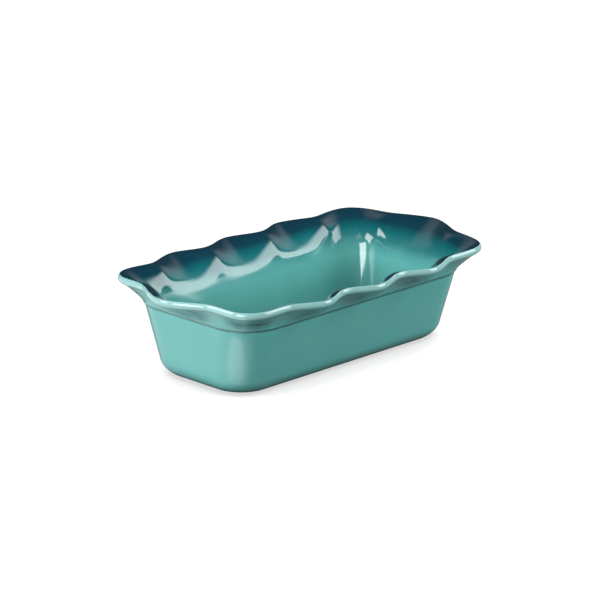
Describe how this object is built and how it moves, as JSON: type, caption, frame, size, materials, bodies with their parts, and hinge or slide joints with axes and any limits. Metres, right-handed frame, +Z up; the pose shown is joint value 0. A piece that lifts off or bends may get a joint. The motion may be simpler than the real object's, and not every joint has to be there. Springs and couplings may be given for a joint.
{
  "type": "loaf pan",
  "caption": "Rectangular glazed stoneware loaf pan with tapered walls, rounded corners and a flared, fluted rim.",
  "frame": {"origin": "centre of the pan at the plane it stands on, under its foot ring", "axes": "+X along the pan's length, +Y across it, +Z up out of the pan; the camera of the picture looks at the -X end and the -Y side"},
  "size_m": [0.294, 0.1684, 0.0759],
  "materials": {
    "bare_clay": "matte",
    "turquoise_glaze": "gloss",
    "inside_turquoise_glaze": "gloss",
    "dark_teal_glaze": "gloss"
  },
  "bodies": {
    "root": {"clay_body": "bare_clay", "outside_glaze": "turquoise_glaze", "inside_glaze": "inside_turquoise_glaze", "rim_glaze": "dark_teal_glaze", "underside_glaze": "turquoise_glaze"}
  },
  "joints": []
}
